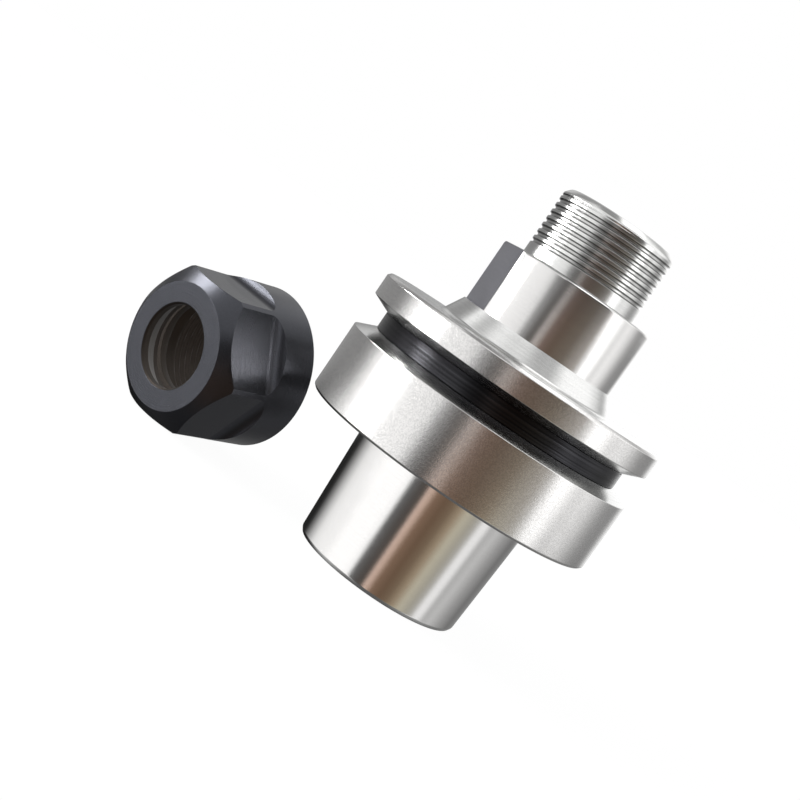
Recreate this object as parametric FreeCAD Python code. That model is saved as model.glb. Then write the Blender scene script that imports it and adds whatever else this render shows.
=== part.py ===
"""Hollow-shank collet chuck holder with its clamping nut taken off and laid beside it.

Millimetres. The Z axis is the axis of the holder, and z = 0 is the gauge face: the ring on the
flange that seats against the spindle. The shank points down and the threaded nose points up.
"""

import FreeCAD, Part
import math
import os

V = FreeCAD.Vector
AXIS = V(0, 0, 1)
ORIGIN = V(0, 0, 0)

# Shank: a short hollow taper that the spindle draws in from inside
gauge_diameter = 38.0
taper_length_per_diameter = 9.98
shank_length = 25.0
shank_end_chamfer = 0.45
face_relief_width = 1.4
face_relief_depth = 0.45
face_inner_diameter = 39.0
face_recess = 0.3

# Hollow of the shank, with the shoulder that the gripper's fingers pull on
mouth_diameter = 29.0
mouth_depth = 6.6
mouth_lead = 0.7
finger_pocket_diameter = 32.0
finger_pocket_depth = 17.0
finger_shoulder_angle = 30.0
stop_bore_diameter = 25.0
hollow_depth = 24.0
centre_bore_diameter = 10.0

# Flange, its gripper groove and the thin disc above the groove
flange_diameter = 63.0
flange_height = 26.0
flange_face_chamfer = 0.5
groove_centre = 17.7
groove_width = 7.0
groove_bottom_diameter = 55.0
groove_flank_angle = 23.5
groove_edge_break = 0.15
disc_top_chamfer = 0.6

# Neck with two spanner flats, on a short cone that rises from the disc
cone_foot_diameter = 38.0
cone_foot_fillet = 0.6
cone_height = 4.2
neck_diameter = 33.6
neck_top = 43.6
neck_top_round = 0.5
flats_width = 30.0
flats_turn = 15.0

# Threaded nose
nose_end = 58.6
thread_diameter = 25.0
nose_lead = 1.1

# Collet seat inside the nose
seat_mouth_diameter = 21.0
seat_half_angle = 8.0
seat_depth = 27.0
seat_lead = 0.25
seat_relief_depth = 33.0

# Clamping nut, in its own frame: the rear face at 0 and the front face at nut_length
nut_length = 24.0
nut_diameter = 34.0
nut_across_flats = 30.0
nut_rear_chamfer = 0.8
nut_collar_height = 9.1
nut_cove_radius = 3.2
nut_face_diameter = 26.2
nut_chamfer_angle = 41.0
nut_chamfer_crown = 0.1

nut_opening_diameter = 17.0
nut_opening_chamfer = 0.4
nut_opening_depth = 1.6
collet_cone_half_angle = 30.0
collet_cone_diameter = 20.6
collet_groove_depth = 1.0
ejector_ring_diameter = 19.0
ejector_ring_width = 1.6
ejector_ring_offset = 0.5
nut_chamber_diameter = 22.0
nut_chamber_depth = 1.2
nut_thread_minor_diameter = 23.4
nut_undercut_diameter = 25.6
nut_undercut_width = 2.0
nut_thread_lead = 0.8

# Where the nut lies: on one of its flats and on its collar, with its face turned to the front
nut_middle_x = -52.0
nut_middle_y = 12.0
nut_face_turn = 36.0

OVERRUN = 5.0


def tangent(degrees):
    return math.tan(math.radians(degrees))


def turned(outline):
    """A solid turned about Z from a closed outline.

    A step of the outline is a point, as (radius, height), or an arc, as the point that it passes
    through and the point where it ends.
    """
    start = V(outline[0][0], 0, outline[0][1])
    edges = []
    for step in outline[1:] + outline[:1]:
        if isinstance(step[0], tuple):
            middle, end = [V(radius, 0, height) for radius, height in step]
            edges.append(Part.Arc(start, middle, end).toShape())
        else:
            end = V(step[0], 0, step[1])
            edges.append(Part.LineSegment(start, end).toShape())
        start = end
    return Part.Face(Part.Wire(edges)).revolve(ORIGIN, AXIS, 360)


def round_over(centre_radius, centre_height, radius, from_angle, to_angle):
    """An arc step for an outline. The angles are in degrees, from outwards towards upwards."""
    points = []
    for angle in ((from_angle + to_angle) / 2, to_angle):
        turn = math.radians(angle)
        points.append((centre_radius + radius * math.cos(turn), centre_height + radius * math.sin(turn)))
    return tuple(points)


def outside_of_holder():
    """The turned outside of the holder, still solid and without its flats."""
    gauge_radius = gauge_diameter / 2
    slope = 1 / (2 * taper_length_per_diameter)
    end_radius = gauge_radius - shank_length * slope
    chamfer_rise = shank_end_chamfer / tangent(30)
    chamfer_radius = end_radius - shank_end_chamfer + chamfer_rise * slope
    relief_radius = gauge_radius - face_relief_width * slope - face_relief_depth

    rim = flange_diameter / 2
    groove_bottom = groove_bottom_diameter / 2
    flank = (rim - groove_bottom) * tangent(groove_flank_angle)
    groove_low = groove_centre - groove_width / 2
    groove_high = groove_centre + groove_width / 2

    neck = neck_diameter / 2
    cone_top = flange_height + cone_height
    thread = thread_diameter / 2
    return turned([
        (0, -shank_length),
        (chamfer_radius, -shank_length),
        (end_radius + chamfer_rise * slope, -shank_length + chamfer_rise),
        (gauge_radius - face_relief_width * slope, -face_relief_width),
        (relief_radius, -face_relief_width + face_relief_depth),
        (relief_radius, face_recess),
        (face_inner_diameter / 2, face_recess),
        (face_inner_diameter / 2 + face_recess, 0),
        (rim - flange_face_chamfer, 0),
        (rim, flange_face_chamfer),
        (rim, groove_low - groove_edge_break),
        (rim - groove_edge_break, groove_low),
        (groove_bottom, groove_low + flank),
        (groove_bottom, groove_high - flank),
        (rim - groove_edge_break, groove_high),
        (rim, groove_high + groove_edge_break),
        (rim, flange_height - disc_top_chamfer),
        (rim - disc_top_chamfer, flange_height),
        (cone_foot_diameter / 2 + cone_foot_fillet, flange_height),
        (cone_foot_diameter / 2, flange_height + cone_foot_fillet / 2),
        (neck, cone_top),
        (neck, neck_top - neck_top_round),
        round_over(neck - neck_top_round, neck_top - neck_top_round, neck_top_round, 0, 90),
        (thread, neck_top),
        (thread, nose_end - nose_lead),
        (thread - nose_lead, nose_end),
        (0, nose_end),
    ])


def shank_hollow():
    """What is bored out of the shank: mouth, finger pocket and stop bore."""
    mouth = mouth_diameter / 2
    pocket = finger_pocket_diameter / 2
    stop = stop_bore_diameter / 2
    bottom = -shank_length
    shoulder = bottom + mouth_depth
    shoulder_rise = (pocket - mouth) * tangent(finger_shoulder_angle)
    pocket_top = bottom + finger_pocket_depth
    return turned([
        (0, bottom - OVERRUN),
        (mouth + mouth_lead, bottom - OVERRUN),
        (mouth + mouth_lead, bottom),
        (mouth, bottom + mouth_lead),
        (mouth, shoulder),
        (pocket, shoulder + shoulder_rise),
        (pocket, pocket_top),
        (stop, pocket_top + (pocket - stop)),
        (stop, bottom + hollow_depth),
        (0, bottom + hollow_depth),
    ])


def collet_socket():
    """What is bored out of the nose: the collet's taper and a plain bore below it."""
    mouth = seat_mouth_diameter / 2
    seat_bottom = nose_end - seat_depth
    small_end = mouth - seat_depth * tangent(seat_half_angle)
    return turned([
        (0, nose_end - seat_relief_depth),
        (small_end, nose_end - seat_relief_depth),
        (small_end, seat_bottom),
        (mouth, nose_end),
        (mouth + seat_lead, nose_end),
        (mouth + seat_lead, nose_end + OVERRUN),
        (0, nose_end + OVERRUN),
    ])


def centre_bore():
    """The plain hole that joins the hollow of the shank to the collet socket."""
    low = -shank_length + hollow_depth
    high = nose_end - seat_relief_depth
    length = high - low + 2
    return Part.makeCylinder(centre_bore_diameter / 2, length, V(0, 0, low - 1), AXIS)


def spanner_flats():
    """The two blocks of metal that are milled off the neck, down to the top of the cone."""
    depth = neck_diameter
    bottom = flange_height + cone_height
    height = neck_top + OVERRUN - bottom
    blocks = []
    for side in (0, 180):
        block = Part.makeBox(depth, 2 * depth, height, V(flats_width / 2, -depth, bottom))
        block.rotate(ORIGIN, AXIS, flats_turn + side)
        blocks.append(block)
    return blocks


def make_holder_body():
    body = outside_of_holder()
    for hollow in (shank_hollow(), collet_socket(), centre_bore()):
        body = body.cut(hollow)
    for block in spanner_flats():
        body = body.cut(block)
    return body.removeSplitter()


def nut_envelope():
    """The turned blank of the nut: collar, hexagon's corners and front chamfer."""
    radius = nut_diameter / 2
    face = nut_face_diameter / 2
    drop = (radius - face) * tangent(nut_chamfer_angle)
    lean = math.radians(nut_chamfer_angle)
    crown = (
        (radius + face) / 2 + nut_chamfer_crown * math.sin(lean),
        nut_length - drop / 2 + nut_chamfer_crown * math.cos(lean),
    )
    return turned([
        (0, 0),
        (radius - nut_rear_chamfer, 0),
        (radius, nut_rear_chamfer),
        (radius, nut_length - drop),
        (crown, (face, nut_length)),
        (0, nut_length),
    ])


def flat_cutter():
    """One milled flat: a plane that sweeps out to the collar through the cutter's round."""
    flat = nut_across_flats / 2
    outer = nut_diameter / 2 + nut_cove_radius
    top = nut_length + OVERRUN
    round_start = V(flat, 0, cove_top())
    round_centre = V(flat + nut_cove_radius, 0, cove_top())
    round_end = round_centre - V(0, 0, nut_cove_radius)
    reach = nut_cove_radius * math.sqrt(0.5)
    round_middle = round_centre - V(reach, 0, reach)
    corners = [round_end, V(outer, 0, round_end.z), V(outer, 0, top), V(flat, 0, top), round_start]
    edges = [Part.LineSegment(a, b).toShape() for a, b in zip(corners, corners[1:])]
    edges.append(Part.Arc(round_start, round_middle, round_end).toShape())
    width = 2 * nut_diameter
    cutter = Part.Face(Part.Wire(edges)).extrude(V(0, width, 0))
    cutter.translate(V(0, -width / 2, 0))
    return cutter


def cove_top():
    """The height at which a flat starts to sweep out, so that it meets the collar's top edge."""
    out = nut_diameter / 2 - nut_across_flats / 2
    reach = nut_cove_radius ** 2 - (nut_cove_radius - out) ** 2
    return nut_collar_height + math.sqrt(reach)


def nut_inside():
    """What is bored out of the nut, apart from the hole in its ejector ring."""
    opening = nut_opening_diameter / 2
    cone = collet_cone_diameter / 2
    chamber = nut_chamber_diameter / 2
    minor = nut_thread_minor_diameter / 2
    undercut = nut_undercut_diameter / 2
    cone_top = nut_length - nut_opening_depth
    cone_bottom = cone_top - (cone - opening) / tangent(collet_cone_half_angle)
    front = turned([
        (0, nut_length + OVERRUN),
        (opening + nut_opening_chamfer, nut_length + OVERRUN),
        (opening + nut_opening_chamfer, nut_length),
        (opening, nut_length - nut_opening_chamfer),
        (opening, cone_top),
        (cone, cone_bottom),
        (cone, cone_bottom - collet_groove_depth),
        (0, cone_bottom - collet_groove_depth),
    ])
    chamber_top = ring_bottom()
    undercut_top = chamber_top - nut_chamber_depth
    thread_top = undercut_top - nut_undercut_width
    rear = turned([
        (0, chamber_top),
        (chamber, chamber_top),
        (chamber, undercut_top),
        (undercut, undercut_top),
        (undercut, thread_top),
        (minor, thread_top - (undercut - minor)),
        (minor, nut_thread_lead),
        (minor + nut_thread_lead, 0),
        (minor + nut_thread_lead, -OVERRUN),
        (0, -OVERRUN),
    ])
    return front, rear


def ring_bottom():
    """The height of the ejector ring's rear side."""
    cone_rise = (collet_cone_diameter - nut_opening_diameter) / 2 / tangent(collet_cone_half_angle)
    return nut_length - nut_opening_depth - cone_rise - collet_groove_depth - ejector_ring_width


def make_clamping_nut():
    nut = nut_envelope()
    cutter = flat_cutter()
    for index in range(6):
        milled = cutter.copy()
        milled.rotate(ORIGIN, AXIS, 60 * index - 90)
        nut = nut.cut(milled)
    for hollow in nut_inside():
        nut = nut.cut(hollow)
    ring_hole = Part.makeCylinder(
        ejector_ring_diameter / 2,
        ejector_ring_width + 1,
        V(0, ejector_ring_offset, ring_bottom() - 0.5),
        AXIS,
    )
    nut = nut.cut(ring_hole).removeSplitter()
    nut.Placement = nut_place()
    return nut


def nut_tilt():
    """How far the nut's face dips when it lies on one flat and on its collar, in degrees."""
    step = (nut_diameter - nut_across_flats) / 2
    face_drop = (nut_across_flats - nut_face_diameter) / 2 * tangent(nut_chamfer_angle)
    return math.degrees(math.atan2(step, nut_length - face_drop - nut_collar_height))


def nut_place():
    """Carries the nut from its own frame to where it lies beside the shank."""
    tilt = math.radians(nut_tilt())
    middle = nut_length / 2
    rise = nut_diameter / 2 * math.cos(tilt) - (middle - nut_collar_height) * math.sin(tilt)
    lie_down = FreeCAD.Rotation(V(1, 0, 0), 90 + nut_tilt())
    turn = FreeCAD.Rotation(AXIS, -nut_face_turn)
    rotation = turn.multiply(lie_down)
    centre = V(nut_middle_x, nut_middle_y, rise - shank_length)
    return FreeCAD.Placement(centre - rotation.multVec(V(0, 0, middle)), rotation)


os.makedirs("parts", exist_ok=True)
PIECES = {"holder_body": make_holder_body(), "clamping_nut": make_clamping_nut()}
for name, shape in PIECES.items():
    shape.exportStep(f"parts/{name}.step")
    box = shape.BoundBox
    print(name, shape.ShapeType, len(shape.Solids), shape.isValid(), round(shape.Volume), "mm3")
    print("  from", [round(value, 2) for value in (box.XMin, box.YMin, box.ZMin)],
          "to", [round(value, 2) for value in (box.XMax, box.YMax, box.ZMax)])
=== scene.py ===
"""The look of a collet chuck holder that stands on its hollow shank, with its clamping nut beside it.

The file is laid out as an add-on and run as a script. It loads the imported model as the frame, turns
and mills the two pieces with their threads, gives them their finishes, and sets up a white studio.
Sizes are millimetres in the making code and metres in the panel.
"""

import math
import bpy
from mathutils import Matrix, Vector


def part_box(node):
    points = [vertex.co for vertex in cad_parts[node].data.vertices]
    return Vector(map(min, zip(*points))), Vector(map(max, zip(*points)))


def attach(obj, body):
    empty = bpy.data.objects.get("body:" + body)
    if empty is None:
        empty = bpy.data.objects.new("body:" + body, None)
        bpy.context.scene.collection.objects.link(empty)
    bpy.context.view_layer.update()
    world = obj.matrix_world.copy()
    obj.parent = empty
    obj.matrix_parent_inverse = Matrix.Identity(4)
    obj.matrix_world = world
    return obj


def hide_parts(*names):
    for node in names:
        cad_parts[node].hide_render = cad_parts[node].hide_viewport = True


bl_info = {
    "name": "Collet Chuck Holder",
    "version": (1, 0, 0),
    "blender": (4, 5, 0),
    "location": "View3D > Sidebar > Chuck Holder",
    "description": "Builds a hollow shank collet chuck holder, its clamping nut and a white studio",
    "category": "Object",
}

from collections import namedtuple

import bmesh
import bpy
from bpy.props import FloatProperty, FloatVectorProperty, IntProperty, PointerProperty
from mathutils import Matrix, Vector

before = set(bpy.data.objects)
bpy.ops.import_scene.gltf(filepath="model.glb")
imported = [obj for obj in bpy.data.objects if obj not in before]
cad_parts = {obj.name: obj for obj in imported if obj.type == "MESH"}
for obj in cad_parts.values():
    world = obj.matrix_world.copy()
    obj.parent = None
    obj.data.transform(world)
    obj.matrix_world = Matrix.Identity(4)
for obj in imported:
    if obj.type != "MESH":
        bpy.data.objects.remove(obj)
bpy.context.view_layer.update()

MM = 0.001
# How far a corner may lie off a face, in millimetres, and still count as lying on it
NEAR = 0.01
# The holder's finishes, in the order of its material slots
GROUND, SATIN, TURNED, BLACKENED, THREADED, BORED, MILLED = range(7)


def length(name, description, millimetres):
    """A size in the panel, in metres, from its value in millimetres."""
    return FloatProperty(
        name=name, description=description, default=millimetres * MM, min=0.0, unit="LENGTH", precision=4
    )


def degrees(name, description, value):
    """An angle in the panel, from its value in degrees."""
    return FloatProperty(name=name, description=description, default=math.radians(value), subtype="ANGLE")


def colour(name, description, value):
    """A colour in the panel, as linear red, green and blue."""
    return FloatVectorProperty(
        name=name, description=description, default=value, size=3, min=0.0, max=1.0, subtype="COLOR"
    )


def share(name, description, value):
    """A number from 0 to 1 in the panel."""
    return FloatProperty(name=name, description=description, default=value, min=0.0, max=1.0)


class HolderSizes(bpy.types.PropertyGroup):
    """The sizes of the turned holder."""

    gauge_diameter: length("Gauge diameter", "Shank across at the flange's face", 38.0)
    taper_ratio: FloatProperty(
        name="Taper ratio", description="Length per diameter of the shank's taper", default=9.98
    )
    shank_length: length("Shank length", "From the flange's face to the end of the shank", 25.0)
    shank_chamfer: length("Shank chamfer", "Edge break at the end of the shank", 0.45)
    relief_width: length("Relief width", "Height of the undercut where shank and face meet", 1.4)
    relief_depth: length("Relief depth", "Depth of that undercut", 0.45)
    face_inner: length("Face inner diameter", "Where the seating ring of the flange starts", 39.0)
    face_recess: length("Face recess", "Depth of the ring's recess at the shank", 0.3)
    mouth_diameter: length("Mouth diameter", "Opening of the hollow shank", 29.0)
    mouth_depth: length("Mouth depth", "Depth of that opening, to the gripper's shoulder", 6.6)
    mouth_lead: length("Mouth lead", "Lead-in chamfer of the opening", 0.7)
    pocket_diameter: length("Pocket diameter", "Room for the gripper's fingers", 32.0)
    pocket_depth: length("Pocket depth", "From the shank's end to the top of the pocket", 17.0)
    shoulder_angle: degrees("Shoulder angle", "Slope of the gripper's shoulder", 30.0)
    stop_diameter: length("Stop bore diameter", "Bore above the pocket", 25.0)
    hollow_depth: length("Hollow depth", "From the shank's end to the bottom of the hollow", 24.0)
    bore_diameter: length("Centre bore diameter", "Hole from the hollow to the collet's socket", 10.0)
    flange_diameter: length("Flange diameter", "Across the rims", 63.0)
    flange_height: length("Flange height", "From the flange's face to the top of the disc", 26.0)
    rim_chamfer: length("Rim chamfer", "Chamfer at the flange's face", 0.5)
    disc_chamfer: length("Disc chamfer", "Chamfer at the top of the disc", 0.6)
    groove_centre: length("Groove centre", "Height of the gripper groove", 17.7)
    groove_width: length("Groove width", "Width of the groove at the rim", 7.0)
    groove_bottom: length("Groove bottom diameter", "Across the bottom of the groove", 55.0)
    groove_flank: degrees("Groove flank angle", "Slope of the groove's flanks", 23.5)
    groove_slot: length("Groove slot", "Width of the fine slots in the groove's corners", 0.22)
    cone_foot: length("Cone foot diameter", "Cone under the neck, at the disc", 38.0)
    cone_height: length("Cone height", "From the disc to the neck", 4.2)
    neck_diameter: length("Neck diameter", "Ground cylinder under the nose", 33.6)
    neck_top: length("Neck top", "Height of the neck's upper face", 43.6)
    neck_round: length("Neck round", "Rounded edge at the top of the neck", 0.5)
    flats_width: length("Across the flats", "Width of the neck between its spanner flats", 30.0)
    flats_turn: degrees("Turn of the flats", "Turn of the flats about the axis", 15.0)
    nose_end: length("Nose end", "Height of the nose's face", 58.6)
    nose_lead: length("Nose lead", "Chamfer at the nose's face", 1.1)
    lead_band: length("Lead band", "Narrow taper between the thread and that chamfer", 0.45)
    thread_diameter: length("Thread diameter", "Outside diameter of the thread", 25.0)
    thread_start: length("Thread start", "Plain band under the thread", 2.5)
    thread_pitch: length("Thread pitch", "Rise of the thread per turn", 1.5)
    seat_mouth: length("Seat mouth diameter", "Collet seat at the nose's face", 21.0)
    seat_depth: length("Seat depth", "Length of the collet's taper", 27.0)
    seat_angle: degrees("Seat angle", "Half angle of the collet's taper", 8.0)
    socket_depth: length("Socket depth", "From the nose's face to the bottom of the socket", 33.0)
    segments: IntProperty(name="Segments", description="Steps round the axis", default=288, min=48, max=360)


class NutSizes(bpy.types.PropertyGroup):
    """The sizes of the clamping nut, and where it lies."""

    height: length("Height", "From the rear face to the front face", 24.0)
    diameter: length("Diameter", "Across the corners and the collar", 34.0)
    across_flats: length("Across flats", "Width of the hexagon", 30.0)
    rear_chamfer: length("Rear chamfer", "Edge break of the collar", 0.8)
    collar_height: length("Collar height", "Where the flats' rounds run out on the collar", 9.1)
    cove_radius: length("Cove radius", "Round between a flat and the collar", 3.2)
    face_diameter: length("Face diameter", "Across the front face", 26.2)
    chamfer_angle: degrees("Chamfer angle", "Slope of the front chamfer", 41.0)
    chamfer_crown: length("Chamfer crown", "How far the chamfer bulges", 0.1)
    opening_diameter: length("Opening diameter", "Hole in the front face", 17.0)
    opening_chamfer: length("Opening chamfer", "Edge break of that hole", 0.4)
    opening_depth: length("Opening depth", "Depth of that hole", 1.6)
    cone_diameter: length("Cone diameter", "Collet cone at its wide end", 20.6)
    cone_angle: degrees("Cone angle", "Half angle of the collet cone", 30.0)
    groove_depth: length("Groove depth", "Height of the groove behind the cone", 1.0)
    ring_diameter: length("Ring diameter", "Hole in the ejector ring", 19.0)
    ring_width: length("Ring width", "Thickness of the ejector ring", 1.6)
    ring_offset: length("Ring offset", "How far that hole is off the axis", 0.5)
    chamber_diameter: length("Chamber diameter", "Room behind the ejector ring", 22.0)
    chamber_depth: length("Chamber depth", "Height of that room", 1.2)
    undercut_diameter: length("Undercut diameter", "Undercut at the end of the thread", 25.6)
    undercut_width: length("Undercut width", "Height of that undercut", 2.0)
    minor_diameter: length("Minor diameter", "Thread's inside diameter", 23.4)
    thread_lead: length("Thread lead", "Chamfer at the thread's mouth", 0.8)
    middle_x: FloatProperty(
        name="Middle X", description="Where the nut lies", default=-52.0 * MM, unit="LENGTH"
    )
    middle_y: FloatProperty(
        name="Middle Y", description="Where the nut lies", default=12.0 * MM, unit="LENGTH"
    )
    face_turn: degrees("Face turn", "How far the front face is turned to the left", 36.0)
    segments: IntProperty(name="Segments", description="Steps round the axis", default=180, min=48, max=360)


class FinishColours(bpy.types.PropertyGroup):
    """The colours of the finishes."""

    ground: colour("Ground steel", "Shank, neck and rims", (0.80, 0.79, 0.78))
    turned: colour("Turned steel", "Faces, cone, flanks and thread", (0.78, 0.78, 0.77))
    milled: colour("Milled steel", "Spanner flats", (0.40, 0.40, 0.44))
    black: colour("Blackened groove", "Bottom of the gripper groove", (0.055, 0.055, 0.060))
    oxide: colour("Black oxide", "Outside of the nut", (0.066, 0.068, 0.078))
    bore: colour("Bored steel", "Inside of the shank and the collet's socket", (0.42, 0.39, 0.36))
    # Partly painted shade: the inside of the nut is its own dark finish made darker still, for the shade
    # inside its bore
    inside: colour("Inside of the nut", "Its lip, cone and thread", (0.046, 0.039, 0.034))


class StudioSettings(bpy.types.PropertyGroup):
    """The light of the studio."""

    surround: share("Surround", "Brightness of the plain surround", 0.72)
    lamp_power: FloatProperty(
        name="Lamp power", description="Power of the strip lamp", default=1.7, min=0.0, unit="POWER"
    )
    shadow: share("Shadow", "How much of the floor takes a shadow", 0.06)


def in_millimetres(sizes):
    """The lengths of a property group as plain numbers in millimetres, and its angles in radians."""
    values = {}
    for name in sizes.__annotations__:
        value = getattr(sizes, name)
        values[name] = value / MM if sizes.bl_rna.properties[name].unit == "LENGTH" else value
    return type("Sizes", (), values)


def turned(corners, segments, divided=()):
    """A bmesh in millimetres, turned about Z from a closed outline of (radius, height, round).

    Each item of divided is (low, high, radius, cuts) and cuts that stretch of the wall into rows.
    """
    shape = bmesh.new()
    points = [shape.verts.new((corner[0], 0.0, corner[1])) for corner in corners]
    for first, second in zip(points, points[1:] + points[:1]):
        shape.edges.new((first, second))
    for amount in sorted({corner[2] for corner in corners if len(corner) > 2}):
        chosen = [point for point, corner in zip(points, corners) if corner[2:] == (amount,)]
        bmesh.ops.bevel(
            shape, geom=chosen, offset=amount, segments=3, profile=0.5, affect="VERTICES", material=-1
        )
    for low, high, radius, cuts in divided:
        wall = [
            edge for edge in shape.edges
            if all(low < vert.co.z < high and abs(vert.co.x - radius) < 1.3 for vert in edge.verts)
            and abs(edge.verts[0].co.z - edge.verts[1].co.z) > 0.5
        ]
        bmesh.ops.subdivide_edges(shape, edges=wall, cuts=cuts)
    bmesh.ops.spin(
        shape, geom=shape.verts[:] + shape.edges[:], cent=(0, 0, 0), axis=(0, 0, 1),
        angle=math.tau, steps=segments, use_merge=True,
    )
    bmesh.ops.recalc_face_normals(shape, faces=shape.faces)
    return shape


def radius_of(point):
    return math.hypot(point.x, point.y)


def thread_cut(point, pitch, start, height, share_of_crest):
    """How deep a right-handed thread is cut at a point.

    Its flanks are 60 degrees apart, between flat crests and flat roots. It has a crest at the height
    start on the side of positive X.
    """
    turn = math.atan2(point.y, point.x) / math.tau
    along = ((point.z - start) / pitch - turn) % 1.0
    from_crest = min(along, 1.0 - along) * pitch
    return min(max((from_crest - share_of_crest * pitch / 2) * math.sqrt(3), 0.0), height)


def finish_mesh(name, shape, finishes, place=Matrix.Identity(4), crease=28.0, smooth_zone=None):
    """Makes the object of a piece from a bmesh in millimetres, smooth except at its creases."""
    for face in shape.faces:
        face.smooth = True
    for edge in shape.edges:
        edge.smooth = edge.calc_face_angle(0.0) < math.radians(crease)
        if smooth_zone and all(smooth_zone(vert.co) for vert in edge.verts):
            edge.smooth = True
    mesh = bpy.data.meshes.new(name)
    shape.to_mesh(mesh)
    shape.free()
    mesh.transform(Matrix.Scale(MM, 4) @ place)
    for finish in finishes:
        mesh.materials.append(finish)
    piece = bpy.data.objects.new(name, mesh)
    bpy.context.scene.collection.objects.link(piece)
    weighted = piece.modifiers.new("Weighted normals", "WEIGHTED_NORMAL")
    weighted.keep_sharp = True
    return piece


def holder_outline(s):
    """The closed outline of the holder: up its outside and down through its bores."""
    gauge = s.gauge_diameter / 2
    slope = 1 / (2 * s.taper_ratio)
    end = gauge - s.shank_length * slope
    rise = s.shank_chamfer / math.tan(math.radians(30))
    relief = gauge - s.relief_width * slope - s.relief_depth
    rim = s.flange_diameter / 2
    bottom = s.groove_bottom / 2
    low = s.groove_centre - s.groove_width / 2
    high = s.groove_centre + s.groove_width / 2
    flank = (rim - bottom) * math.tan(s.groove_flank)
    neck = s.neck_diameter / 2
    cone_top = s.flange_height + s.cone_height
    nose = s.thread_diameter / 2
    mouth = s.mouth_diameter / 2
    pocket = s.pocket_diameter / 2
    stop = s.stop_diameter / 2
    shank_end = -s.shank_length
    shoulder = shank_end + s.mouth_depth
    pocket_top = shank_end + s.pocket_depth
    hollow_top = shank_end + s.hollow_depth
    seat = s.seat_mouth / 2
    small = seat - s.seat_depth * math.tan(s.seat_angle)
    socket = s.nose_end - s.socket_depth
    bore = s.bore_diameter / 2
    slot = s.groove_slot
    return [
        (end - s.shank_chamfer + rise * slope, shank_end, 0.12),
        (end + rise * slope, shank_end + rise, 0.12),
        (gauge - s.relief_width * slope, -s.relief_width, 0.08),
        (relief, -s.relief_width + s.relief_depth),
        (relief, s.face_recess),
        (s.face_inner / 2, s.face_recess),
        (s.face_inner / 2 + s.face_recess, 0.0),
        (rim - s.rim_chamfer, 0.0, 0.12),
        (rim, s.rim_chamfer, 0.12),
        (rim, low, 0.1),
        (bottom, low + flank),
        (bottom - slot, low + flank),
        (bottom - slot, low + flank + slot),
        (bottom, low + flank + slot),
        (bottom, high - flank - slot),
        (bottom - slot, high - flank - slot),
        (bottom - slot, high - flank),
        (bottom, high - flank),
        (rim, high, 0.1),
        (rim, s.flange_height - s.disc_chamfer, 0.12),
        (rim - s.disc_chamfer, s.flange_height, 0.12),
        (s.cone_foot / 2 + 0.6, s.flange_height, 0.3),
        (s.cone_foot / 2, s.flange_height + 0.3, 0.3),
        (neck, cone_top),
        (neck, s.neck_top, s.neck_round),
        (nose + 0.3, s.neck_top),
        (nose, s.neck_top + 0.3),
        (nose, s.neck_top + s.thread_start),
        (nose, s.nose_end - s.nose_lead - s.lead_band),
        (nose - s.lead_band / 4, s.nose_end - s.nose_lead, 0.12),
        (nose - s.nose_lead, s.nose_end, 0.35),
        (seat, s.nose_end, 0.12),
        (small, s.nose_end - s.seat_depth),
        (small, socket),
        (bore, socket),
        (bore, hollow_top),
        (stop, hollow_top, 0.2),
        (stop, pocket_top + pocket - stop),
        (pocket, pocket_top),
        (pocket, shoulder + (pocket - mouth) * math.tan(s.shoulder_angle), 0.2),
        (mouth, shoulder, 0.3),
        (mouth, shank_end + s.mouth_lead, 0.12),
        (mouth + s.mouth_lead, shank_end, 0.12),
    ]


def mill_flats(shape, s, finish_index):
    """Mills the two spanner flats off the neck and closes each cut with its flat and its ledge."""
    foot = s.flange_height + s.cone_height
    half = s.flats_width / 2

    def on_neck(point):
        return foot - 0.001 < point.z < s.neck_top + 0.001 and radius_of(point) > s.thread_diameter / 2 + 0.2

    for side in (0.0, math.pi):
        way = Vector((math.cos(s.flats_turn + side), math.sin(s.flats_turn + side), 0.0))
        faces = [face for face in shape.faces if all(on_neck(vert.co) for vert in face.verts)]
        edges = list({edge for face in faces for edge in face.edges})
        verts = [vert for vert in {vert for face in faces for vert in face.verts} if vert.co.z > foot + NEAR]
        cut = bmesh.ops.bisect_plane(
            shape, geom=faces + edges + verts, dist=0.00001, plane_co=way * half, plane_no=way,
            clear_outer=True,
        )
        border = [item for item in cut["geom_cut"] if isinstance(item, bmesh.types.BMEdge)]
        corners = [
            item for item in cut["geom_cut"]
            if isinstance(item, bmesh.types.BMVert) and abs(item.co.z - foot) < NEAR
        ]
        chord = shape.edges.new(corners)
        arc = [
            edge for edge in shape.edges
            if len(edge.link_faces) == 1
            and all(abs(vert.co.z - foot) < NEAR and vert.co.dot(way) > half - NEAR for vert in edge.verts)
        ]
        flat = bmesh.ops.edgeloop_fill(shape, edges=border + [chord])["faces"]
        ledge = bmesh.ops.edgeloop_fill(shape, edges=arc + [chord])["faces"]
        for face in flat + ledge:
            face.material_index = finish_index
    bmesh.ops.recalc_face_normals(shape, faces=shape.faces)


def holder_finish(face, s, thread_high):
    """The finish of a face of the holder, by where it is and which way it looks."""
    middle = face.calc_center_median()
    radius = radius_of(middle)
    in_groove = abs(middle.z - s.groove_centre) < s.groove_width / 2
    outside = face.normal.xy.dot(middle.xy) > 0.0
    level = abs(face.normal.z)
    if not outside and level < 0.95 and not in_groove and radius < s.pocket_diameter / 2 + 0.5:
        return BORED
    if in_groove:
        return BLACKENED if radius < s.groove_bottom / 2 + NEAR else TURNED
    if radius > s.flange_diameter / 2 - 1.0 and level < 0.9 and 0.0 < middle.z < s.flange_height:
        return SATIN
    if s.neck_top + 0.1 < middle.z < thread_high:
        return THREADED
    return TURNED if middle.z > thread_high or level > 0.4 else GROUND


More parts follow.
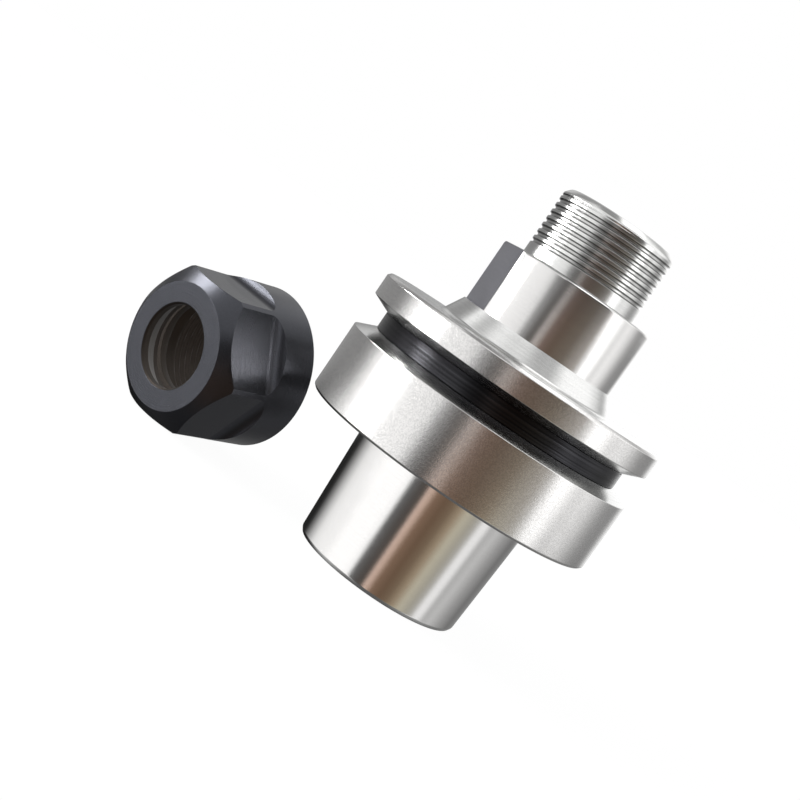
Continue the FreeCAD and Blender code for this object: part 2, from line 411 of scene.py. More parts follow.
class CHUCK_OT_make_holder(bpy.types.Operator):
    """Turns the holder, cuts its thread and mills its spanner flats"""

    bl_idname = "chuck.make_holder"
    bl_label = "Holder"
    bl_options = {"REGISTER", "UNDO"}

    def execute(self, context):
        s = in_millimetres(context.scene.holder_sizes)
        thread_low = s.neck_top + s.thread_start
        thread_high = s.nose_end - s.nose_lead - s.lead_band
        nose = s.thread_diameter / 2
        shape = turned(holder_outline(s), s.segments, [(thread_low - 0.1, thread_high + 0.1, nose, 225)])
        for face in shape.faces:
            face.material_index = holder_finish(face, s, thread_high)
        mill_flats(shape, s, MILLED)
        depth = 0.29 * s.thread_pitch
        crest_share = 0.38
        crest_height = 47.2 + s.thread_pitch / 2
        start_turns = 0.15
        end_turns = 0.3
        for vert in shape.verts:
            if thread_low < vert.co.z < thread_high and radius_of(vert.co) > nose - 0.001:
                run_in = min((vert.co.z - thread_low) / s.thread_pitch / start_turns, 1.0)
                fade = min((thread_high - vert.co.z) / s.thread_pitch / end_turns, 1.0)
                cut = thread_cut(vert.co, s.thread_pitch, crest_height, depth, crest_share) * run_in * fade
                vert.co.xy = vert.co.xy.normalized() * (nose - cut)
        finishes = [
            steel("Ground shank and neck"),
            steel("Satin rims"),
            steel("Turned faces"),
            steel("Blackened groove"),
            thread_steel(s),
            steel("Bored shank and socket"),
            steel("Milled flats"),
        ]
        piece = finish_mesh(
            "holder_turned", shape, finishes,
            smooth_zone=lambda point: thread_low < point.z < thread_high and radius_of(point) > nose - 1.0,
        )
        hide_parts("holder_body")
        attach(piece, "root")
        return {"FINISHED"}


def nut_heights(s):
    """Heights above the nut's rear face.

    They are those of the cone's wide end, the ejector ring's two sides, and the ends of the chamber,
    the undercut and the thread.
    """
    cone_top = s.height - s.opening_depth
    cone_bottom = cone_top - (s.cone_diameter / 2 - s.opening_diameter / 2) / math.tan(s.cone_angle)
    ring_top = cone_bottom - s.groove_depth
    ring_low = ring_top - s.ring_width
    undercut_top = ring_low - s.chamber_depth
    undercut_low = undercut_top - s.undercut_width
    thread_end = undercut_low - (s.undercut_diameter / 2 - s.minor_diameter / 2)
    return cone_bottom, ring_top, ring_low, undercut_top, undercut_low, thread_end


def nut_outline(s):
    """The closed outline of the nut: up its outside and down through its bores."""
    outer = s.diameter / 2
    face = s.face_diameter / 2
    drop = (outer - face) * math.tan(s.chamfer_angle)
    opening = s.opening_diameter / 2
    cone = s.cone_diameter / 2
    ring = s.ring_diameter / 2
    chamber = s.chamber_diameter / 2
    undercut = s.undercut_diameter / 2
    minor = s.minor_diameter / 2
    cone_bottom, ring_top, ring_low, undercut_top, undercut_low, thread_end = nut_heights(s)
    return [
        (outer - s.rear_chamfer, 0.0, 0.15),
        (outer, s.rear_chamfer, 0.15),
        (outer, s.height - drop),
        ((outer + face) / 2 + s.chamfer_crown * math.sin(s.chamfer_angle),
         s.height - drop / 2 + s.chamfer_crown * math.cos(s.chamfer_angle)),
        (face, s.height, 0.1),
        (opening + s.opening_chamfer, s.height, 0.08),
        (opening, s.height - s.opening_chamfer, 0.08),
        (opening, s.height - s.opening_depth),
        (cone, cone_bottom),
        (cone, ring_top),
        (ring, ring_top, 0.2),
        (ring, ring_low, 0.2),
        (chamber, ring_low),
        (chamber, undercut_top),
        (undercut, undercut_top),
        (undercut, undercut_low),
        (minor, thread_end),
        (minor, s.thread_lead),
        (minor + s.thread_lead, 0.0, 0.12),
    ]


def cove_height(s):
    """Height above the rear face at which a flat starts to sweep out to the collar."""
    out = (s.diameter - s.across_flats) / 2
    return s.collar_height + math.sqrt(s.cove_radius ** 2 - (s.cove_radius - out) ** 2)


def flat_cutter(s, turn):
    """A block with one rounded edge, which mills one flat with its cove."""
    shape = bmesh.new()
    bmesh.ops.create_cube(shape, size=1.0)
    low = cove_height(s) - s.cove_radius
    inner = s.across_flats / 2
    bmesh.ops.scale(shape, vec=(20.0, 44.0, 30.0), verts=shape.verts)
    bmesh.ops.translate(shape, vec=(inner + 10.0, 0.0, low + 15.0), verts=shape.verts)
    edge = [
        item for item in shape.edges
        if all(vert.co.x < inner + 1 and vert.co.z < low + 1 for vert in item.verts)
    ]
    bmesh.ops.bevel(
        shape, geom=edge, offset=s.cove_radius, segments=14, profile=0.5, affect="EDGES", material=-1
    )
    bmesh.ops.rotate(shape, cent=(0, 0, 0), matrix=Matrix.Rotation(turn, 3, "Z"), verts=shape.verts)
    mesh = bpy.data.meshes.new("cutter")
    shape.to_mesh(mesh)
    shape.free()
    cutter = bpy.data.objects.new("cutter", mesh)
    bpy.context.scene.collection.objects.link(cutter)
    return cutter


def mill_hexagon(shape, s):
    """Returns the nut's bmesh with its six flats milled off."""
    mesh = bpy.data.meshes.new("blank")
    shape.to_mesh(mesh)
    shape.free()
    blank = bpy.data.objects.new("blank", mesh)
    bpy.context.scene.collection.objects.link(blank)
    cutters = [flat_cutter(s, math.radians(30 + 60 * index)) for index in range(6)]
    for cutter in cutters:
        milled = blank.modifiers.new("Flat", "BOOLEAN")
        milled.operation = "DIFFERENCE"
        milled.solver = "EXACT"
        milled.object = cutter
    result = bpy.data.meshes.new_from_object(blank.evaluated_get(bpy.context.evaluated_depsgraph_get()))
    shape = bmesh.new()
    shape.from_mesh(result)
    for item in [blank] + cutters:
        bpy.data.objects.remove(item)
    bmesh.ops.remove_doubles(shape, verts=shape.verts, dist=0.0005)
    return shape


def nut_place(s):
    """Carries the nut from its own frame to where it lies on a flat and on its collar."""
    step = (s.diameter - s.across_flats) / 2
    face_drop = (s.across_flats - s.face_diameter) / 2 * math.tan(s.chamfer_angle)
    tilt = math.atan2(step, s.height - face_drop - s.collar_height)
    middle = s.height / 2
    rise = s.diameter / 2 * math.cos(tilt) - (middle - s.collar_height) * math.sin(tilt)
    turn = Matrix.Rotation(-s.face_turn, 4, "Z") @ Matrix.Rotation(math.pi / 2 + tilt, 4, "X")
    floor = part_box("holder_body")[0].z / MM
    centre = Vector((s.middle_x, s.middle_y, floor + rise))
    return Matrix.Translation(centre - turn @ Vector((0, 0, middle))) @ turn


class CHUCK_OT_make_nut(bpy.types.Operator):
    """Turns the clamping nut, mills its hexagon and cuts its thread"""

    bl_idname = "chuck.make_nut"
    bl_label = "Clamping nut"
    bl_options = {"REGISTER", "UNDO"}

    def execute(self, context):
        s = in_millimetres(context.scene.nut_sizes)
        pitch = context.scene.holder_sizes.thread_pitch / MM
        ring_top, ring_low = nut_heights(s)[1:3]
        thread_end = nut_heights(s)[-1]
        minor = s.minor_diameter / 2
        shape = mill_hexagon(turned(nut_outline(s), s.segments), s)
        wall = [
            edge for edge in shape.edges
            if all(abs(radius_of(vert.co) - minor) < NEAR for vert in edge.verts)
            and abs(edge.verts[0].co.z - edge.verts[1].co.z) > 1.0
        ]
        bmesh.ops.subdivide_edges(shape, edges=wall, cuts=90, use_grid_fill=True)
        depth = 0.53 * pitch
        root_share = 0.20
        for vert in shape.verts:
            on_wall = abs(radius_of(vert.co) - minor) < NEAR
            if on_wall and s.thread_lead + NEAR < vert.co.z < thread_end - NEAR:
                cut = depth - thread_cut(vert.co, pitch, 0.0, depth, root_share)
                vert.co.xy = vert.co.xy.normalized() * (minor + cut)
        ring = [
            vert for vert in shape.verts
            if radius_of(vert.co) < s.ring_diameter / 2 + 0.25
            and ring_low - NEAR < vert.co.z < ring_top + NEAR
        ]
        bmesh.ops.translate(shape, vec=(0.0, s.ring_offset, 0.0), verts=ring)
        outer = [
            edge for edge in shape.edges
            if edge.calc_face_angle(0.0) > math.radians(20)
            and all(radius_of(vert.co) > s.face_diameter / 2 - 0.3 and vert.co.z > 1.0 for vert in edge.verts)
        ]
        bmesh.ops.bevel(
            shape, geom=outer, offset=0.12, segments=2, profile=0.5, affect="EDGES", material=-1,
            clamp_overlap=True,
        )
        bmesh.ops.recalc_face_normals(shape, faces=shape.faces)
        for face in shape.faces:
            middle = face.calc_center_median()
            bored = radius_of(middle) < s.undercut_diameter / 2 + 0.05 and middle.z < s.height - 0.05
            face.material_index = 1 if bored else 0
        place = nut_place(s)
        piece = finish_mesh(
            "nut_milled", shape, [steel("Black oxide", place), steel("Bored nut", place)], place,
            smooth_zone=lambda point: (
                s.thread_lead < point.z < thread_end and radius_of(point) < minor + depth + NEAR
            ),
        )
        piece.visible_glossy = False
        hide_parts("clamping_nut")
        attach(piece, "root")
        return {"FINISHED"}


def put(tree, kind, inputs=None, **settings):
    """Adds a node. Its inputs are sockets to link from, or plain values."""
    node = tree.nodes.new(kind)
    for name, value in settings.items():
        setattr(node, name, value)
    for name, value in (inputs or {}).items():
        if isinstance(value, bpy.types.NodeSocket):
            tree.links.new(value, node.inputs[name])
        else:
            node.inputs[name].default_value = value
    return node


def calculate(tree, operation, *values):
    """A Math node's result."""
    node = put(tree, "ShaderNodeMath", dict(enumerate(values)), operation=operation)
    return node.outputs[0]


def new_group(name, inputs, outputs):
    """An empty shader node group with its sockets, its tree, its input node and its output node."""
    tree = bpy.data.node_groups.new(name, "ShaderNodeTree")
    for label, kind, default in inputs:
        socket = tree.interface.new_socket(label, in_out="INPUT", socket_type=kind)
        if default is not None:
            socket.default_value = default
    for label, kind in outputs:
        tree.interface.new_socket(label, in_out="OUTPUT", socket_type=kind)
    return tree, put(tree, "NodeGroupInput"), put(tree, "NodeGroupOutput")


def from_axis(tree, x, y):
    """How far a point is from the axis."""
    squares = calculate(tree, "ADD", calculate(tree, "MULTIPLY", x, x), calculate(tree, "MULTIPLY", y, y))
    return calculate(tree, "SQRT", squares)


def turning_lines():
    """Fine lines that run round the axis, as a grinding wheel or a turning tool leaves them."""
    name = "Turning lines"
    if name in bpy.data.node_groups:
        return bpy.data.node_groups[name]
    tree, source, result = new_group(
        name,
        [("Vector", "NodeSocketVector", None), ("Lines per mm", "NodeSocketFloat", 4.0),
         ("Wander", "NodeSocketFloat", 2.0)],
        [("Lines", "NodeSocketFloat")],
    )
    x, y, z = put(tree, "ShaderNodeSeparateXYZ", {0: source.outputs["Vector"]}).outputs
    radius = from_axis(tree, x, y)
    safe = calculate(tree, "MAXIMUM", radius, 0.0001)
    wander = source.outputs["Wander"]
    round_x = calculate(tree, "MULTIPLY", calculate(tree, "DIVIDE", x, safe), wander)
    round_y = calculate(tree, "MULTIPLY", calculate(tree, "DIVIDE", y, safe), wander)
    along = calculate(tree, "MULTIPLY", calculate(tree, "ADD", z, radius), 1 / MM)
    dense = calculate(tree, "MULTIPLY", along, source.outputs["Lines per mm"])
    where = put(tree, "ShaderNodeCombineXYZ", {0: round_x, 1: round_y, 2: dense}).outputs[0]
    fine = put(tree, "ShaderNodeTexNoise", {"Vector": where, "Scale": 1.0, "Detail": 3.0, "Roughness": 0.65})
    tree.links.new(fine.outputs[0], result.inputs["Lines"])
    return tree


def steel_grain():
    """The pin-point grain of hardened steel, and the marks of handling."""
    name = "Steel grain"
    if name in bpy.data.node_groups:
        return bpy.data.node_groups[name]
    tree, source, result = new_group(
        name,
        [("Vector", "NodeSocketVector", None), ("Grains per mm", "NodeSocketFloat", 9.0)],
        [("Grain", "NodeSocketFloat"), ("Specks", "NodeSocketFloat"), ("Smudges", "NodeSocketFloat")],
    )
    where = source.outputs["Vector"]
    scale = calculate(tree, "MULTIPLY", source.outputs["Grains per mm"], 1 / MM)
    grain = put(tree, "ShaderNodeTexNoise", {"Vector": where, "Scale": scale, "Detail": 2.0})
    smear = put(
        tree, "ShaderNodeTexNoise", {"Vector": where, "Scale": 55.0, "Detail": 4.0, "Distortion": 0.6}
    )
    cells = put(tree, "ShaderNodeTexVoronoi", {"Vector": where, "Scale": scale})
    speck = put(tree, "ShaderNodeSeparateColor", {0: cells.outputs["Color"]})
    tree.links.new(grain.outputs[0], result.inputs["Grain"])
    tree.links.new(speck.outputs[0], result.inputs["Specks"])
    tree.links.new(remap(tree, smear.outputs[0], 0.48, 0.72), result.inputs["Smudges"])
    return tree


def new_material(name):
    """A material with its tree, its Principled shader and its Object coordinates."""
    material = bpy.data.materials.new(name)
    material.use_nodes = True
    tree = material.node_tree
    tree.nodes.clear()
    shader = put(tree, "ShaderNodeBsdfPrincipled")
    put(tree, "ShaderNodeOutputMaterial", {"Surface": shader.outputs[0]})
    return material, tree, shader, put(tree, "ShaderNodeTexCoord").outputs["Object"]


def remap(tree, value, start, end, low=0.0, high=1.0):
    """Maps a value that goes from start to end onto the range from low to high."""
    limits = {"Value": value, "From Min": start, "From Max": end, "To Min": low, "To Max": high}
    return put(tree, "ShaderNodeMapRange", limits).outputs[0]


def tint(tree, value, dark, light):
    """Mixes two colours by a value."""
    node = put(tree, "ShaderNodeMix", {"Factor": value}, data_type="RGBA")
    node.inputs[6].default_value = (*dark, 1.0)
    node.inputs[7].default_value = (*light, 1.0)
    return node.outputs[2]


def shade(base, amount):
    """A colour made darker."""
    return tuple(channel * amount for channel in base)


# A finish takes its tone from the panel's colours. The lines change its roughness by rough_lines,
# there are per_mm of them, and wander is how uneven they are round the axis. The grain has its share
# of the relief and of the mottle that darkens the tone, and changes the roughness by grain_rough.
Finish = namedtuple(
    "Finish", "tone rough rough_lines relief per_mm wander grain_share grain_rough mottled grains_per_mm"
)
FINISHES = {
    "Ground shank and neck": Finish("ground", 0.09, 0.03, 0.08, 9.0, 1.2, 0.35, 0.10, 0.05, 9.0),
    "Satin rims": Finish("ground", 0.15, 0.03, 0.14, 9.0, 0.8, 0.8, 0.2, 0.13, 5.5),
    "Turned faces": Finish("turned", 0.17, 0.03, 0.10, 6.0, 1.0, 0.3, 0.08, 0.12, 9.0),
    "Blackened groove": Finish("black", 0.21, 0.08, 0.6, 2.4, 0.4, 0.0, 0.06, 0.70, 9.0),
    "Cut thread": Finish("turned", 0.16, 0.02, 0.04, 8.0, 1.0, 0.3, 0.06, 0.1, 9.0),
    "Bored shank and socket": Finish("bore", 0.22, 0.06, 0.2, 5.0, 2.0, 0.2, 0.1, 0.1, 9.0),
    "Milled flats": Finish("milled", 0.32, 0.05, 0.1, 2.5, 0.5, 0.5, 0.1, 0.1, 9.0),
    # Its dark tone is partly the nut's own finish and partly painted shade inside the nut
    "Bored nut": Finish("inside", 0.55, 0.06, 0.2, 5.0, 2.0, 0.2, 0.1, 0.1, 9.0),
    "Black oxide": Finish("oxide", 0.30, 0.05, 0.2, 4.0, 1.5, 0.6, 0.15, 0.1, 9.0),
}


def dress(tree, shader, vector, finish):
    """Feeds a steel shader with turning lines, grain and smudges."""
    base = tuple(getattr(bpy.context.scene.finish_colours, finish.tone))
    lines = put(tree, "ShaderNodeGroup", node_tree=turning_lines())
    tree.links.new(vector, lines.inputs["Vector"])
    lines.inputs["Lines per mm"].default_value = finish.per_mm
    lines.inputs["Wander"].default_value = finish.wander
    line = lines.outputs["Lines"]
    skin = put(tree, "ShaderNodeGroup", node_tree=steel_grain())
    tree.links.new(vector, skin.inputs["Vector"])
    skin.inputs["Grains per mm"].default_value = finish.grains_per_mm
    grain = skin.outputs["Grain"]
    specks = skin.outputs["Specks"]
    mottle = put(tree, "ShaderNodeMix", {"Factor": finish.grain_share, "A": line, "B": specks})
    strong = remap(tree, mottle.outputs[0], 0.32, 0.66)
    dark = shade(base, 1.0 - finish.mottled)
    tree.links.new(tint(tree, strong, dark, base), shader.inputs["Base Color"])
    dull = finish.rough + finish.rough_lines
    keen = max(finish.rough - finish.rough_lines, 0.02)
    rough_grain = calculate(tree, "MULTIPLY", calculate(tree, "SUBTRACT", grain, 0.5), finish.grain_rough)
    rough_smudge = calculate(tree, "MULTIPLY", skin.outputs["Smudges"], 0.05)
    rough = calculate(tree, "ADD", remap(tree, line, 0.0, 1.0, dull, keen), rough_grain)
    tree.links.new(calculate(tree, "ADD", rough, rough_smudge), shader.inputs["Roughness"])
    line_height = calculate(tree, "MULTIPLY", line, 1.0 - finish.grain_share)
    height = calculate(tree, "ADD", line_height, calculate(tree, "MULTIPLY", grain, finish.grain_share))
    bump = put(tree, "ShaderNodeBump", {"Strength": finish.relief, "Distance": 0.1 * MM, "Height": height})
    tree.links.new(bump.outputs[0], shader.inputs["Normal"])
    shader.inputs["Metallic"].default_value = 1.0


def steel(name, place=None):
    """One of the finishes as a material. Its lines run round Z, or round the axis of a placed piece."""
    material, tree, shader, vector = new_material(name)
    if place is not None:
        vector = own_coordinates(tree, vector, place)
    dress(tree, shader, vector, FINISHES[name])
    return material


def thread_steel(s):
    """The cut thread, bright on its crests, with painted shade that darkens its base colour on its flanks and
    in its roots.
    """
    name = "Cut thread"
    material, tree, shader, vector = new_material(name)
    dress(tree, shader, vector, FINISHES[name])
    x, y, z = put(tree, "ShaderNodeSeparateXYZ", {0: vector}).outputs
    crest = s.thread_diameter / 2
    # Painted shade: the base colour goes darker towards the roots and on the sloping flanks
    depth = remap(tree, from_axis(tree, x, y), (crest - 0.40) * MM, (crest - 0.10) * MM, 0.76, 1.0)
    normal = put(tree, "ShaderNodeNewGeometry").outputs["Normal"]
    slope = calculate(tree, "ABSOLUTE", put(tree, "ShaderNodeSeparateXYZ", {0: normal}).outputs[2])
    flank = remap(tree, slope, 0.30, 0.75, 1.0, 0.42)
    unshaded_share = calculate(tree, "MULTIPLY", depth, flank)
    painted_shade_mix = put(tree, "ShaderNodeMix", {"Factor": unshaded_share}, data_type="RGBA")
    painted_shade_mix.inputs[6].default_value = (0.0, 0.0, 0.0, 1.0)
    tree.links.new(shader.inputs["Base Color"].links[0].from_socket, painted_shade_mix.inputs[7])
    tree.links.new(painted_shade_mix.outputs[2], shader.inputs["Base Color"])
    return material


def own_coordinates(tree, vector, place):
    """Turns Object coordinates into the frame of a piece that doesn't stand on the axis."""
    spot = place.to_translation() * MM
    back = place.to_3x3().transposed()
    mapping = put(tree, "ShaderNodeMapping", {"Vector": vector}, vector_type="POINT")
    mapping.inputs["Rotation"].default_value = back.to_euler("XYZ")
    mapping.inputs["Location"].default_value = -(back @ spot)
    return mapping.outputs[0]


# What shines mirrors four rows of soft panels and dark flags. Each stop is an azimuth in degrees,
# from the front towards the right, and the brightness or colour there.
LOW_BANDS = (
    (-180, 0.20), (-170, 0.02), (-146, 0.02), (-138, 0.05), (-128, 0.24), (-117, 0.60),
    (-107, 0.97), (-96, 1.09), (-80, 1.14), (-68, 1.30), (-46, 1.30), (-36, 1.20), (-31, 0.16),
    (-20, (0.095, 0.085, 0.080)), (-13, (0.10, 0.085, 0.075)), (-10, (0.74, 0.55, 0.46)),
    (-5, (0.62, 0.45, 0.36)), (0, (0.25, 0.16, 0.11)), (13, (0.165, 0.105, 0.068)),
    (24, (0.21, 0.15, 0.10)), (34, (0.38, 0.30, 0.21)), (43, (0.56, 0.52, 0.41)),
    (55, (0.42, 0.40, 0.34)), (62, (0.50, 0.49, 0.46)), (68, 0.98), (75, 0.98), (82, 0.52),
    (94, 0.62), (113, 0.38), (135, 0.20), (152, 0.24), (166, 0.31),
)
LEVEL_BANDS = (
    (-180, 0.60), (-172, 0.32), (-116, 0.27), (-107, 0.42), (-99, 1.02), (-90, 1.25), (-65, 1.15),
    (-35, 0.95), (-29, 0.42), (-19, (0.15, 0.14, 0.135)), (-14, (0.15, 0.14, 0.13)),
    (-10, (0.52, 0.48, 0.46)), (-5, (0.47, 0.42, 0.39)), (0, (0.22, 0.16, 0.135)),
    (12, (0.150, 0.108, 0.082)), (34, (0.19, 0.16, 0.13)), (44, (0.32, 0.29, 0.26)),
    (55, (0.45, 0.42, 0.39)), (61, 0.85), (66, 1.70), (74, 1.60), (83, 0.90), (94, 1.08),
    (104, 0.88), (113, 0.55), (123, 0.34), (138, 0.29), (145, 0.36), (154, 0.90), (168, 1.12),
)
THREAD_BANDS = (
    (-180, 0.30), (-127, 0.20), (-112, 0.22), (-98, 0.26), (-91, 0.75), (-84, 1.00), (-65, 1.12),
    (-43, 1.00), (-36, 0.66), (-31, 0.22), (-17, 0.15), (-4, 0.16), (2, (0.085, 0.073, 0.070)),
    (19, (0.070, 0.060, 0.056)), (33, (0.095, 0.086, 0.082)), (45, 0.14), (52, 0.30), (56, 1.4),
    (60, 2.6), (69, 2.6), (73, 1.2), (80, 0.90), (91, 1.08), (103, 0.74), (115, 0.36), (127, 0.42),
    (135, 0.70), (143, 1.0), (160, 1.2),
)
HIGH_BANDS = (
    (-180, 0.75), (-158, 0.60), (-147, 0.34), (-128, 0.34), (-119, 0.52), (-113, 1.25),
    (-106, 1.15), (-100, 0.82), (-92, 0.62), (-83, 0.70), (-72, 1.05), (-61, 1.15), (-48, 1.00),
    (-36, 0.90), (-24, 0.98), (-10, 0.90), (2, 0.60), (16, 0.46), (30, 0.56), (42, 0.52),
    (55, 0.95), (66, 1.30), (108, 1.30), (117, 1.08), (126, 0.86), (135, 0.55), (143, 0.60),
    (151, 0.88), (160, 1.20), (172, 1.10),
)
# A direction's height goes from -1, straight down, to 1, straight up. Between the first and the
# second height of a pair, one row gives way to the next.
LOW_TO_LEVEL = (-0.150, -0.113)
LEVEL_TO_THREAD = (0.034, 0.044)
THREAD_TO_HIGH = (0.11, 0.30)
HIGH_TO_CEILING = (0.88, 0.92)
LOW_TO_TABLE = (-0.60, -0.95)
# Where the ceiling changes from its left to its right, in the direction's X
CEILING_EDGE = (-0.07, 0.01)
CEILING_LEFT, CEILING_RIGHT, TABLE = 0.34, 1.6, 0.13
# Single panels, with their azimuths in degrees, their heights and their brightness: a narrow strip
# lamp, and a dark flag and a lit panel that the middle of the thread mirrors
PANELS = (
    ((-82, -73), (-0.115, -0.022), 18.0),
    ((-18, 48), (0.11, 0.44), 0.08),
    ((-12, 54), (0.50, 0.60), 2.4),
)
# How wide the soft edges of these panels are, as a share of a full turn and in height
PANEL_EDGE_TURN = 0.018
PANEL_EDGE_HEIGHT = 0.012


def band_ramp(tree, turn, bands):
    """The surround's brightness round the horizon, from azimuths in degrees."""
    ramp = put(tree, "ShaderNodeValToRGB", {0: turn})
    stops = ramp.color_ramp.elements
    while len(stops) > 1:
        stops.remove(stops[-1])
    for index, (azimuth, panel) in enumerate(bands):
        place = azimuth / 360 + 0.5
        stop = stops[0] if index == 0 else stops.new(place)
        stop.position = place
        stop.color = (*panel, 1.0) if isinstance(panel, tuple) else (panel, panel, panel, 1.0)
    return ramp.outputs[0]


def blend(tree, value, start, end, first, second):
    """Changes from one colour to another as a value goes from start to end."""
    mix = put(tree, "ShaderNodeMix", {"Factor": remap(tree, value, start, end)}, data_type="RGBA")
    tree.links.new(first, mix.inputs[6])
    tree.links.new(second, mix.inputs[7])
    return mix.outputs[2]


def window(tree, value, low, high, soft):
    """One between two limits, and none further than soft outside them."""
    rise = remap(tree, value, low - soft, low)
    fall = remap(tree, value, high + soft, high)
    return calculate(tree, "MULTIPLY", rise, fall)


def add_panel(tree, surround, turn, z, azimuths, heights, brightness):
    """Adds one panel to the surround, bright or dark."""
    across = window(tree, turn, azimuths[0] / 360 + 0.5, azimuths[1] / 360 + 0.5, PANEL_EDGE_TURN)
    up = window(tree, z, heights[0], heights[1], PANEL_EDGE_HEIGHT)
    return blend(tree, calculate(tree, "MULTIPLY", across, up), 0.0, 1.0, surround, plain(tree, brightness))


def plain(tree, grey):
    """A colour that is the same all over."""
    node = put(tree, "ShaderNodeRGB")
    node.outputs[0].default_value = (grey, grey, grey, 1.0)
    return node.outputs[0]


def build_surround(world, brightness):
    """White for the camera, even for matt surfaces, and panels and flags for what shines."""
    world.use_nodes = True
    tree = world.node_tree
    tree.nodes.clear()
    direction = put(tree, "ShaderNodeTexCoord").outputs["Generated"]
    x, y, z = put(tree, "ShaderNodeSeparateXYZ", {0: direction}).outputs
    heading = calculate(tree, "ARCTAN2", x, calculate(tree, "MULTIPLY", y, -1.0))
    turn = calculate(tree, "ADD", calculate(tree, "DIVIDE", heading, math.tau), 0.5)
    low, level, thread, high = (
        band_ramp(tree, turn, bands) for bands in (LOW_BANDS, LEVEL_BANDS, THREAD_BANDS, HIGH_BANDS)
    )
    lower = blend(tree, z, *LOW_TO_LEVEL, low, level)
    upper = blend(tree, z, *LEVEL_TO_THREAD, lower, thread)
    mirrored = blend(tree, z, *THREAD_TO_HIGH, upper, high)
    for azimuths, heights, panel_brightness in PANELS:
        mirrored = add_panel(tree, mirrored, turn, z, azimuths, heights, panel_brightness)
    left, right, table = (plain(tree, grey) for grey in (CEILING_LEFT, CEILING_RIGHT, TABLE))
    ceiling = blend(tree, x, *CEILING_EDGE, left, right)
    mirrored = blend(tree, z, *HIGH_TO_CEILING, mirrored, ceiling)
    mirrored = blend(tree, z, *LOW_TO_TABLE, mirrored, table)
    path = put(tree, "ShaderNodeLightPath")
    shiny = put(tree, "ShaderNodeBackground", {"Color": mirrored, "Strength": 1.0})
    even = put(tree, "ShaderNodeBackground", {"Color": (1, 1, 1, 1), "Strength": brightness})
    white = put(tree, "ShaderNodeBackground", {"Color": (1, 1, 1, 1), "Strength": 1.0})
    glossy = calculate(tree, "MAXIMUM", path.outputs["Is Glossy Ray"], path.outputs["Is Transmission Ray"])
    seen = put(tree, "ShaderNodeMixShader", {0: glossy, 1: even.outputs[0], 2: shiny.outputs[0]})
    direct = path.outputs["Is Camera Ray"]
    camera = put(tree, "ShaderNodeMixShader", {0: direct, 1: seen.outputs[0], 2: white.outputs[0]})
    put(tree, "ShaderNodeOutputWorld", {"Surface": camera.outputs[0]})


def build_floor(shadow):
    """A pale floor that is white where nothing shades it."""
    shape = bmesh.new()
    bmesh.ops.create_circle(shape, cap_ends=True, radius=4000.0, segments=64)
    bmesh.ops.translate(shape, vec=(0, 0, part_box("holder_body")[0].z / MM), verts=shape.verts)
    mesh = bpy.data.meshes.new("floor")
    shape.to_mesh(mesh)
    shape.free()
    mesh.transform(Matrix.Scale(MM, 4))
    material = bpy.data.materials.new("White floor")
    material.use_nodes = True
    tree = material.node_tree
    tree.nodes.clear()
    path = put(tree, "ShaderNodeLightPath")
    matt = put(tree, "ShaderNodeBsdfDiffuse", {"Color": (0.9, 0.9, 0.9, 1.0)})
    glow = put(tree, "ShaderNodeEmission", {"Color": (1, 1, 1, 1), "Strength": 1.0 - shadow * 0.6})
    dark = put(tree, "ShaderNodeEmission", {"Color": (0, 0, 0, 1), "Strength": 0.0})
    weak = put(tree, "ShaderNodeMixShader", {0: shadow, 1: dark.outputs[0], 2: matt.outputs[0]})
    both = put(tree, "ShaderNodeAddShader", {0: weak.outputs[0], 1: glow.outputs[0]})
    direct = calculate(tree, "MAXIMUM", path.outputs["Is Camera Ray"], path.outputs["Is Transmission Ray"])
    pick = put(tree, "ShaderNodeMixShader", {0: direct, 1: matt.outputs[0], 2: both.outputs[0]})
    put(tree, "ShaderNodeOutputMaterial", {"Surface": pick.outputs[0]})
    mesh.materials.append(material)
    floor = bpy.data.objects.new("floor", mesh)
    bpy.context.scene.collection.objects.link(floor)
    floor.visible_glossy = False


def build_camera():
    """The photograph's point of view: low, in front, and leaned to one side."""
    camera = bpy.data.objects.new("Camera", bpy.data.cameras.new("Camera"))
    bpy.context.scene.collection.objects.link(camera)
    right = Vector((0.82468147, 0.05472632, 0.56294361))
    up = Vector((-0.56559745, 0.07979489, 0.82081198))
    back = right.cross(up)
    place = Matrix.Translation(Vector((-15.812, -280.691, 33.848)) * MM)
    camera.matrix_world = place @ Matrix((right, up, back)).transposed().to_4x4()
    camera.data.sensor_width = 36.0
    camera.data.lens = 65.231
    camera.data.clip_start = 0.01
    bpy.context.scene.camera = camera


def build_lamp(name, place, aim, size, power, mirrored):
    """A soft lamp at a place in millimetres, which looks at another."""
    lamp = bpy.data.objects.new(name, bpy.data.lights.new(name, "AREA"))
    bpy.context.scene.collection.objects.link(lamp)
    lamp.data.shape = "RECTANGLE"
    lamp.data.size, lamp.data.size_y = (side * MM for side in size)
    lamp.data.energy = power
    lamp.visible_camera = False
    lamp.visible_glossy = mirrored
    lamp.location = Vector(place) * MM
    lamp.rotation_euler = (Vector(aim) - Vector(place)).to_track_quat("-Z", "Y").to_euler()


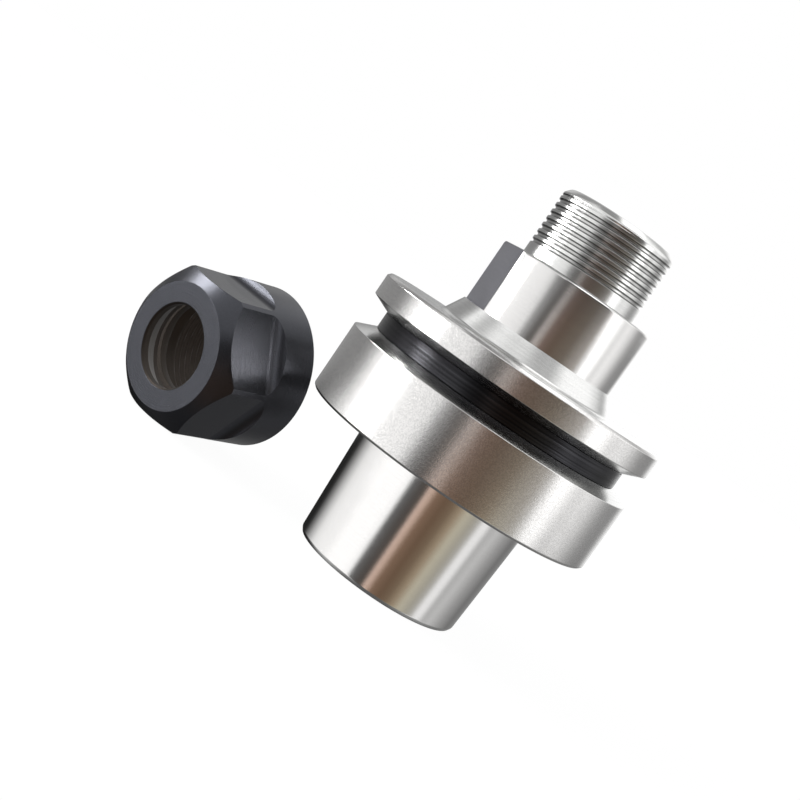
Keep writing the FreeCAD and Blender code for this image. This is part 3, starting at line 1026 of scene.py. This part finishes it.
class CHUCK_OT_make_stage(bpy.types.Operator):
    """Sets up the white studio and the camera"""

    bl_idname = "chuck.make_stage"
    bl_label = "Studio"
    bl_options = {"REGISTER", "UNDO"}

    def execute(self, context):
        scene = context.scene
        settings = scene.studio_settings
        scene.world = bpy.data.worlds.new("Studio")
        build_surround(scene.world, settings.surround)
        build_floor(settings.shadow)
        build_lamp("Strip lamp", (-400, -90, 60), (0, 0, 20), (110, 450), settings.lamp_power, False)
        build_lamp("Small lamp", (-137, 17, 56), (-55, 5, -6), (46, 30), settings.lamp_power * 0.036, True)
        build_camera()
        scene.view_settings.view_transform = "Standard"
        return {"FINISHED"}


class CHUCK_PT_panel(bpy.types.Panel):
    """Lists the pieces and their sizes"""

    bl_idname = "CHUCK_PT_panel"
    bl_label = "Chuck Holder"
    bl_space_type = "VIEW_3D"
    bl_region_type = "UI"
    bl_category = "Chuck Holder"

    def draw(self, context):
        for operator in OPERATORS:
            self.layout.operator(operator.bl_idname)
        for label, group in SETTINGS.items():
            column = self.layout.column(align=True)
            column.label(text=label.replace("_", " ").capitalize())
            for name in group.__annotations__:
                column.prop(getattr(context.scene, label), name)


SETTINGS = {
    "holder_sizes": HolderSizes,
    "nut_sizes": NutSizes,
    "finish_colours": FinishColours,
    "studio_settings": StudioSettings,
}
OPERATORS = (CHUCK_OT_make_stage, CHUCK_OT_make_holder, CHUCK_OT_make_nut)


def register():
    for group in SETTINGS.values():
        bpy.utils.register_class(group)
    for label, group in SETTINGS.items():
        setattr(bpy.types.Scene, label, PointerProperty(type=group))
    for item in OPERATORS + (CHUCK_PT_panel,):
        bpy.utils.register_class(item)


def unregister():
    for item in (CHUCK_PT_panel,) + OPERATORS:
        bpy.utils.unregister_class(item)
    for label in SETTINGS:
        delattr(bpy.types.Scene, label)
    for group in SETTINGS.values():
        bpy.utils.unregister_class(group)


def main():
    register()
    bpy.ops.chuck.make_stage()
    bpy.ops.chuck.make_holder()
    bpy.ops.chuck.make_nut()


if __name__ == "__main__":
    main()
